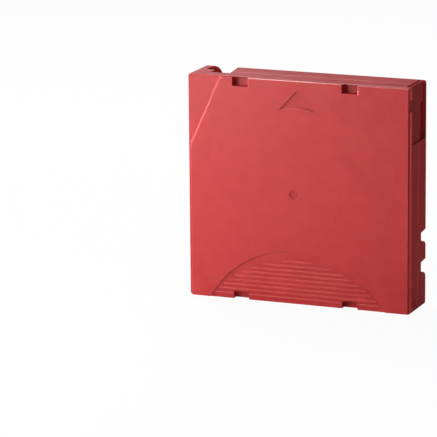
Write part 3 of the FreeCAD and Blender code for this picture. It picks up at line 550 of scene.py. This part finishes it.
def round_edges(piece, radius):
    """Rounds the sharp edges that have room for it: edges at a fault stay sharp in the next try."""
    form = bmesh.new()
    form.from_mesh(piece.data)
    form.edges.ensure_lookup_table()
    solid = BVHTree.FromBMesh(form)
    chosen = sharp_outer_edges(form)
    weights = piece.data.attributes.new("bevel_weight_edge", "FLOAT", "EDGE")
    rounding = piece.modifiers.new("Edge rounding", "BEVEL")
    rounding.width = radius
    rounding.segments = ROUNDING_STEPS
    rounding.limit_method = "WEIGHT"
    rounding.use_clamp_overlap = False
    rounding.miter_outer = "MITER_SHARP"
    # The roundings take the piece's second material, the paler one that paints their highlight.
    rounding.material = 1
    for _ in range(ROUNDING_TRIES):
        shares = [float(index in chosen) for index in range(len(form.edges))]
        weights.data.foreach_set("value", shares)
        piece.data.update()
        piece.update_tag()
        mesh = evaluated_mesh(piece)
        spots = faulty_spots(mesh, solid, radius)
        if not spots:
            break
        chosen = edges_away_from(spots, chosen, form, FAULT_REACH * radius)
    form.free()
    settle(piece, mesh)


def rounded_copy(node, name, radius, face_material, highlight_edge_material):
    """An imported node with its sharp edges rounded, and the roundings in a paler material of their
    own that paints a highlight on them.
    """
    piece = merged_copy(node, name)
    piece.data.materials.append(face_material)
    piece.data.materials.append(highlight_edge_material)
    round_edges(piece, radius)
    piece.data.shade_smooth()
    piece.data.set_sharp_from_angle(angle=SHADED_BEND)
    weigh = piece.modifiers.new("Face normals", "WEIGHTED_NORMAL")
    weigh.keep_sharp = True
    weigh.weight = 100
    settle(piece, evaluated_mesh(piece))
    return piece


def put(piece, body, slot, *nodes):
    """Sets a finished piece on its body, with the nodes it stands for; the slot is not used."""
    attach(piece, body)
    if nodes:
        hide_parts(*nodes)


def dress(node, material):
    """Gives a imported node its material."""
    mesh = NODES[node].data
    mesh.materials.clear()
    mesh.materials.append(material)


# ---------------------------------------------------------------- geometry nodes
class Geometry(Nodes):
    """Geometry nodes tree with named inputs."""

    def __init__(self, name, inputs):
        super().__init__(bpy.data.node_groups.new(name, "GeometryNodeTree"))
        sockets = self.tree.interface
        sockets.new_socket("Geometry", in_out="INPUT", socket_type="NodeSocketGeometry")
        self.keys = {}
        for label, kind, default in inputs:
            socket = sockets.new_socket(label, in_out="INPUT", socket_type="NodeSocket" + kind)
            socket.default_value = default
            self.keys[label] = socket.identifier
        finish = sockets.new_socket("Finish", in_out="INPUT", socket_type="NodeSocketMaterial")
        self.keys["Finish"] = finish.identifier
        sockets.new_socket("Geometry", in_out="OUTPUT", socket_type="NodeSocketGeometry")
        self.into = self.add("NodeGroupInput")
        self.out = self.add("NodeGroupOutput")

    def value(self, label):
        return self.into.outputs[label]

    def end(self, geometry):
        """Realize Instances and Set Material close every tree."""
        real = self.add("GeometryNodeRealizeInstances")
        self.link(geometry, real.inputs[0])
        finish = self.add("GeometryNodeSetMaterial")
        self.link(real.outputs[0], finish.inputs["Geometry"])
        self.link(self.value("Finish"), finish.inputs["Material"])
        self.link(finish.outputs[0], self.out.inputs[0])


def grow(tree, name, material, **values):
    """A plain mesh made by a geometry nodes tree."""
    piece = new_object(name, bpy.data.meshes.new(name))
    modifier = piece.modifiers.new(tree.tree.name, "NODES")
    modifier.node_group = tree.tree
    modifier[tree.keys["Finish"]] = material
    for label, value in values.items():
        modifier[tree.keys[label.replace("_", " ")]] = value
    settle(piece, evaluated_mesh(piece))
    if not piece.data.polygons:
        raise RuntimeError(name + " has no faces")
    return piece


def close_seams(piece):
    """Joins the seam of a swept piece and turns its faces outwards."""
    form = bmesh.new()
    form.from_mesh(piece.data)
    bmesh.ops.remove_doubles(form, verts=form.verts, dist=SEAM_WELD)
    bmesh.ops.recalc_face_normals(form, faces=form.faces)
    form.to_mesh(piece.data)
    form.free()


def spring_tree():
    """Round wire swept along a helix about Z."""
    g = Geometry("Coil spring", [
        ("Radius", "Float", 0.005), ("Wire", "Float", 0.0005), ("Turns", "Float", 5.0),
        ("Height", "Float", 0.01), ("Steps", "Int", 28)])
    spiral = g.add("GeometryNodeCurveSpiral")
    sizes = {"Resolution": "Steps", "Rotations": "Turns", "Start Radius": "Radius",
             "End Radius": "Radius", "Height": "Height"}
    for socket, label in sizes.items():
        g.link(g.value(label), spiral.inputs[socket])
    wire = g.add("GeometryNodeCurvePrimitiveCircle")
    wire.inputs["Resolution"].default_value = WIRE_SIDES
    g.link(g.math("MULTIPLY", g.value("Wire"), 0.5), wire.inputs["Radius"])
    sweep = g.add("GeometryNodeCurveToMesh")
    sweep.inputs["Fill Caps"].default_value = True
    g.link(spiral.outputs[0], sweep.inputs["Curve"])
    g.link(wire.outputs[0], sweep.inputs["Profile Curve"])
    smooth = g.add("GeometryNodeSetShadeSmooth")
    g.link(sweep.outputs[0], smooth.inputs[0])
    g.end(smooth.outputs[0])
    return g


def winding_tree():
    """Section of the wound tape, with a small step at each winding, swept round the reel's axis.

    The section's points run outwards along one side and back along the other, two for each
    winding and side. Each winding has its own width, by chance.
    """
    g = Geometry("Tape winding", [
        ("Inner Radius", "Float", 0.022), ("Outer Radius", "Float", 0.045),
        ("Width", "Float", 0.0126), ("Windings", "Int", 38), ("Relief", "Float", 0.00005),
        ("Seed", "Int", 4)])
    per_side = g.math("MULTIPLY", g.value("Windings"), 2.0)
    in_all = g.math("MULTIPLY", per_side, 2.0)
    points = g.add("GeometryNodePoints")
    g.link(in_all, points.inputs["Count"])
    index = g.add("GeometryNodeInputIndex").outputs[0]
    back = g.math("GREATER_THAN", index, g.math("SUBTRACT", per_side, 0.5))
    forth = g.math("SUBTRACT", 1.0, back)
    reverse = g.math("SUBTRACT", g.math("SUBTRACT", in_all, 1.0), index)
    step = g.math("ADD", g.math("MULTIPLY", index, forth), g.math("MULTIPLY", reverse, back))
    winding = g.math("FLOOR", g.math("DIVIDE", step, 2.0))
    border = g.math("FLOOR", g.math("DIVIDE", g.math("ADD", step, 1.0), 2.0))
    share = g.math("DIVIDE", border, g.value("Windings"))
    depth = g.math("SUBTRACT", g.value("Outer Radius"), g.value("Inner Radius"))
    radius = g.math("ADD", g.value("Inner Radius"), g.math("MULTIPLY", share, depth))
    chance = g.add("FunctionNodeRandomValue", data_type="FLOAT")
    seed_of_side = g.math("ADD", g.value("Seed"), g.math("MULTIPLY", back, 7.0))
    g.link(winding, next(i for i in chance.inputs if i.identifier == "ID"))
    g.link(seed_of_side, next(i for i in chance.inputs if i.identifier == "Seed"))
    random = next(o for o in chance.outputs if o.identifier == "Value_001")
    set_back = g.math("MULTIPLY", g.math("MULTIPLY", random, random), g.value("Relief"))
    half = g.math("SUBTRACT", g.math("MULTIPLY", g.value("Width"), 0.5), set_back)
    side = g.math("SUBTRACT", g.math("MULTIPLY", back, 2.0), 1.0)
    spot = g.add("ShaderNodeCombineXYZ")
    g.link(radius, spot.inputs[0])
    g.link(g.math("MULTIPLY", half, side), spot.inputs[1])
    placed = g.add("GeometryNodeSetPosition")
    g.link(points.outputs[0], placed.inputs["Geometry"])
    g.link(spot.outputs[0], placed.inputs["Position"])
    outline = g.add("GeometryNodePointsToCurves")
    g.link(placed.outputs[0], outline.inputs[0])
    closed = g.add("GeometryNodeSetSplineCyclic")
    closed.inputs["Cyclic"].default_value = True
    g.link(outline.outputs[0], closed.inputs["Geometry"])
    path = g.add("GeometryNodeCurvePrimitiveCircle")
    path.inputs["Resolution"].default_value = TAPE_SIDES
    path.inputs["Radius"].default_value = SWEEP_RADIUS
    sweep = g.add("GeometryNodeCurveToMesh")
    g.link(path.outputs[0], sweep.inputs["Curve"])
    g.link(closed.outputs[0], sweep.inputs["Profile Curve"])
    g.end(sweep.outputs[0])
    return g


# ---------------------------------------------------------------- operators
class BuildShells(bpy.types.Operator):
    """Both halves of the moulded case, with rounded edges"""
    bl_idname = "cartridge.shells"
    bl_label = "Case Shells"

    def execute(self, context):
        s = context.scene.cartridge_case
        face = moulded("Red plastic", s.red, roughness=0.40, grain=s.grain_size,
                       depth=s.grain_depth)
        # The roundings take the paler edge colour, a painted highlight along the case's edges.
        edge = moulded("Red edges", s.edge_highlight_red, roughness=0.42, grain=s.grain_size * 2,
                       depth=s.grain_depth / 3, Specular_IOR_Level=0.42)
        for half in ("upper", "lower"):
            node = half + "_case"
            piece = rounded_copy(node, half + "_shell", s.edge_radius, face, edge)
            put(piece, "case", "case_plastic", node)
        return {"FINISHED"}


class BuildDoor(bpy.types.Operator):
    """Sliding tape door"""
    bl_idname = "cartridge.door"
    bl_label = "Tape Door"

    def execute(self, context):
        s = context.scene.cartridge_case
        face = moulded("Door plastic", s.door_red, roughness=0.46, grain=s.grain_size,
                       depth=s.grain_depth / 2, Specular_IOR_Level=0.42)
        # The door's roundings take the paler edge colour, a painted highlight along its edges.
        edge = moulded("Door edges", s.edge_highlight_red, roughness=0.38, grain=s.grain_size * 2,
                       depth=s.grain_depth / 4)
        piece = rounded_copy("door", "door_shutter", s.door_edge_radius, face, edge)
        put(piece, "door", "door_plastic", "door")
        return {"FINISHED"}


class BuildReel(bpy.types.Operator):
    """Hub, flanges, steel plate and wound tape"""
    bl_idname = "cartridge.reel"
    bl_label = "Reel"

    def execute(self, context):
        s = context.scene.cartridge_reel
        small = context.scene.cartridge_small
        hub = moulded("Reel plastic", s.hub_grey, roughness=0.38, grain=0.6 * MM,
                      depth=0.006 * MM, mottle=0.03, marks=0.12, Subsurface_Weight=0.12,
                      Subsurface_Radius=(4.0 * MM, 3.5 * MM, 3.0 * MM))
        for node in ("reel_hub", "reel_upper_flange"):
            dress(node, hub)
        plate = steel("Hub plate steel", small.steel, roughness=0.26, line_scale=1400.0)
        dress("reel_plate", plate)
        low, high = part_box("tape_pack")
        radius = (high.x - low.x) / 2
        tape = grow(winding_tree(), "tape_winding", wound_tape_material(s.tape_brown),
                    Inner_Radius=radius - TAPE_DEPTH, Outer_Radius=radius,
                    Width=high.y - low.y, Windings=s.windings, Relief=s.relief)
        upright = Matrix.Rotation(math.radians(90), 4, "X")
        tape.data.transform(Matrix.Translation((low + high) / 2) @ upright)
        close_seams(tape)
        put(tape, "reel", "tape", "tape_pack")
        return {"FINISHED"}


class BuildLeader(bpy.types.Operator):
    """Leader pin, its clip, the free tape and the retaining spring"""
    bl_idname = "cartridge.leader"
    bl_label = "Leader Pin"

    def execute(self, context):
        s = context.scene.cartridge_small
        reel = context.scene.cartridge_reel
        pin = steel("Pin steel", s.steel, roughness=0.2, line_scale=2200.0)
        strip = steel("Spring strip", s.steel, roughness=0.32, line_scale=700.0)
        clip = moulded("Clip plastic", reel.pad_white, roughness=0.42, grain=0.5 * MM,
                       depth=0.008 * MM, mottle=0.03)
        dress("leader_pin", pin)
        dress("pin_retainer_spring", strip)
        dress("leader_pin_clip", clip)
        dress("leader_tape", film_material())
        return {"FINISHED"}


class BuildBrake(bpy.types.Operator):
    """Brake disc and release pad"""
    bl_idname = "cartridge.brake"
    bl_label = "Brake"

    def execute(self, context):
        s = context.scene.cartridge_reel
        disc = moulded("Brake plastic", s.brake_grey, roughness=0.4, grain=0.5 * MM,
                       depth=0.008 * MM, mottle=0.05)
        pad = moulded("Pad plastic", s.pad_white, roughness=0.36, grain=0.5 * MM,
                      depth=0.006 * MM, mottle=0.03)
        dress("brake_disc", disc)
        dress("release_pad", pad)
        return {"FINISHED"}


class BuildSprings(bpy.types.Operator):
    """Coil springs of the door and of the brake"""
    bl_idname = "cartridge.springs"
    bl_label = "Springs"

    def execute(self, context):
        s = context.scene.cartridge_small
        finish = steel("Spring wire", s.steel, roughness=0.28, line_scale=1600.0)
        tree = spring_tree()
        for node, wire, turns, axis, joint in SPRINGS:
            low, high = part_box(node)
            middle = (low + high) / 2
            tall = (high - low).dot(Vector(axis))
            piece = grow(tree, node + "_wire", finish, Radius=(high.x - low.x - wire) / 2,
                         Wire=wire, Turns=float(turns), Height=tall - wire,
                         Steps=s.wire_steps)
            foot = Vector(low[i] if axis[i] else middle[i] for i in range(3))
            along_axis = Matrix.Rotation(math.radians(-90 * axis[1]), 4, "X")
            raised = Matrix.Translation((0, 0, wire / 2))
            piece.data.transform(Matrix.Translation(foot) @ along_axis @ raised)
            close_seams(piece)
            put(piece, "case", "spring_steel", node)
            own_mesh(piece)
        return {"FINISHED"}


class BuildSwitchAndMemory(bpy.types.Operator):
    """Write-protect switch, memory board and chip"""
    bl_idname = "cartridge.switch_memory"
    bl_label = "Switch and Memory"

    def execute(self, context):
        s = context.scene.cartridge_small
        # A paler copy of the switch orange for the rounded edges: a painted highlight.
        edge_highlight_orange = tuple(min(1, c * 1.2) for c in s.switch_orange)
        face = moulded("Switch plastic", s.switch_orange, roughness=0.42, grain=0.4 * MM,
                       depth=0.01 * MM)
        edge = moulded("Switch edges", edge_highlight_orange, roughness=0.34, grain=0.6 * MM, depth=0.004 * MM)
        chip = moulded("Chip potting", linear(30, 30, 32), roughness=0.3, grain=0.8 * MM,
                       depth=0.02 * MM, mottle=0.1)
        piece = rounded_copy("write_protect_switch", "switch_slider", SWITCH_EDGE_RADIUS, face,
                             edge)
        put(piece, "write_protect", "switch_plastic", "write_protect_switch")
        dress("memory_board", board_material(s.board_green))
        dress("memory_chip", chip)
        return {"FINISHED"}


class BuildScrews(bpy.types.Operator):
    """Case screws"""
    bl_idname = "cartridge.screws"
    bl_label = "Screws"

    def execute(self, context):
        s = context.scene.cartridge_small
        finish = steel("Screw steel", s.dark_steel, roughness=0.34, line_scale=1800.0, marks=0.4)
        for number in range(1, 5):
            dress("case_screw_%d" % number, finish)
        return {"FINISHED"}


class BuildStudio(bpy.types.Operator):
    """Pale floor, soft lamps, room light and camera"""
    bl_idname = "cartridge.studio"
    bl_label = "Studio"

    @staticmethod
    def rays(n):
        """Rays that see the background straight on or through glass, and reflected ones."""
        path = n.add("ShaderNodeLightPath").outputs
        seen = n.math("MAXIMUM", path["Is Camera Ray"], path["Is Transmission Ray"])
        return seen, path["Is Glossy Ray"]

    def floor(self, s):
        """A floor that keeps the shadow but looks nearly white, and dim in reflections."""
        mesh = bpy.data.meshes.new("studio_floor")
        half = s.floor_size / 2
        corners = [(x * half, y * half, 0) for x, y in ((-1, -1), (1, -1), (1, 1), (-1, 1))]
        mesh.from_pydata(corners, [], [(0, 1, 2, 3)])
        floor = new_object("studio_floor", mesh)
        material, n, shader = bare_material("Studio floor", Roughness=0.9, Specular_IOR_Level=0.0)
        shader.inputs["Base Color"].default_value = (*s.floor_white, 1)
        seen, glossy = self.rays(n)
        glow = n.add("ShaderNodeEmission")
        n.link(n.spread(glossy, 0.0, 1.0, 1.0, s.floor_reflected), glow.inputs["Strength"])
        mix = n.add("ShaderNodeMixShader")
        glowing = n.math("MAXIMUM", n.math("MULTIPLY", seen, s.floor_glow), glossy)
        n.link(glowing, mix.inputs[0])
        n.link(shader.outputs[0], mix.inputs[1])
        n.link(glow.outputs[0], mix.inputs[2])
        end = next(node for node in material.node_tree.nodes if node.type == "OUTPUT_MATERIAL")
        n.link(mix.outputs[0], end.inputs["Surface"])
        mesh.materials.append(material)

    def lamp(self, name, place, size, watts, spread):
        """A round soft lamp that faces the cartridge."""
        data = bpy.data.lights.new(name, "AREA")
        data.shape = "DISK"
        data.size = size
        data.energy = watts
        data.spread = math.radians(spread)
        lamp = new_object(name, data)
        lamp.location = place
        lamp.visible_camera = False
        back = Vector(place) - Vector(LAMP_TARGET)
        lamp.rotation_euler = back.to_track_quat("Z", "Y").to_euler()

    def room(self, s):
        """A white background that lights the cartridge softly and looks dim in reflections."""
        world = bpy.data.worlds.new("Studio room")
        bpy.context.scene.world = world
        world.use_nodes = True
        n = Nodes(world.node_tree)
        back = next(node for node in world.node_tree.nodes if node.type == "BACKGROUND")
        seen, glossy = self.rays(n)
        strength = n.math("MAXIMUM", seen, n.spread(glossy, 0.0, 1.0, s.ambient, s.reflected))
        back.inputs["Color"].default_value = (1, 1, 1, 1)
        n.link(strength, back.inputs["Strength"])

    def camera(self, s):
        """The camera, turned about the point it looks at."""
        data = bpy.data.cameras.new("studio_camera")
        data.lens = s.lens
        data.sensor_width = data.sensor_height = SENSOR
        data.clip_end = 20.0
        camera = new_object("studio_camera", data)
        out = Vector((math.sin(s.azimuth) * math.cos(s.elevation),
                      -math.cos(s.azimuth) * math.cos(s.elevation), math.sin(s.elevation)))
        right = (-out).cross(Vector((0, 0, 1))).normalized()
        up = right.cross(-out)
        across = math.cos(s.roll) * right + math.sin(s.roll) * up
        above = -math.sin(s.roll) * right + math.cos(s.roll) * up
        turn = Matrix((across, above, out)).transposed().to_4x4()
        place = Vector(CAMERA_TARGET) + out * s.distance
        camera.matrix_world = Matrix.Translation(place) @ turn
        bpy.context.scene.camera = camera

    def execute(self, context):
        s = context.scene.cartridge_studio
        context.scene.view_settings.view_transform = "Standard"
        self.floor(s)
        self.room(s)
        for name, place, size, setting, spread in LAMPS:
            self.lamp(name, place, size, getattr(s, setting), spread)
        self.camera(s)
        return {"FINISHED"}


class CartridgePanel(bpy.types.Panel):
    """Steps and settings of the cartridge"""
    bl_idname = "VIEW3D_PT_cartridge"
    bl_label = "Data Tape Cartridge"
    bl_space_type = "VIEW_3D"
    bl_region_type = "UI"
    bl_category = "Cartridge"

    def draw(self, context):
        for step in STEPS:
            self.layout.operator(step.bl_idname, text=step.bl_label)
        for attribute, group in SETTINGS:
            box = self.layout.box()
            box.label(text=group.__name__.replace("Settings", ""))
            for name in group.__annotations__:
                box.prop(getattr(context.scene, attribute), name)


STEPS = (BuildShells, BuildDoor, BuildReel, BuildLeader, BuildBrake, BuildSprings,
         BuildSwitchAndMemory, BuildScrews, BuildStudio)


def register():
    for attribute, group in SETTINGS:
        bpy.utils.register_class(group)
        setattr(bpy.types.Scene, attribute, PointerProperty(type=group))
    for step in (*STEPS, CartridgePanel):
        bpy.utils.register_class(step)


def unregister():
    for step in reversed((*STEPS, CartridgePanel)):
        bpy.utils.unregister_class(step)
    for attribute, group in reversed(SETTINGS):
        delattr(bpy.types.Scene, attribute)
        bpy.utils.unregister_class(group)


def main():
    register()
    bpy.ops.cartridge.shells()
    bpy.ops.cartridge.door()
    bpy.ops.cartridge.reel()
    bpy.ops.cartridge.leader()
    bpy.ops.cartridge.brake()
    bpy.ops.cartridge.springs()
    bpy.ops.cartridge.switch_memory()
    bpy.ops.cartridge.screws()
    bpy.ops.cartridge.studio()


if __name__ == "__main__":
    main()
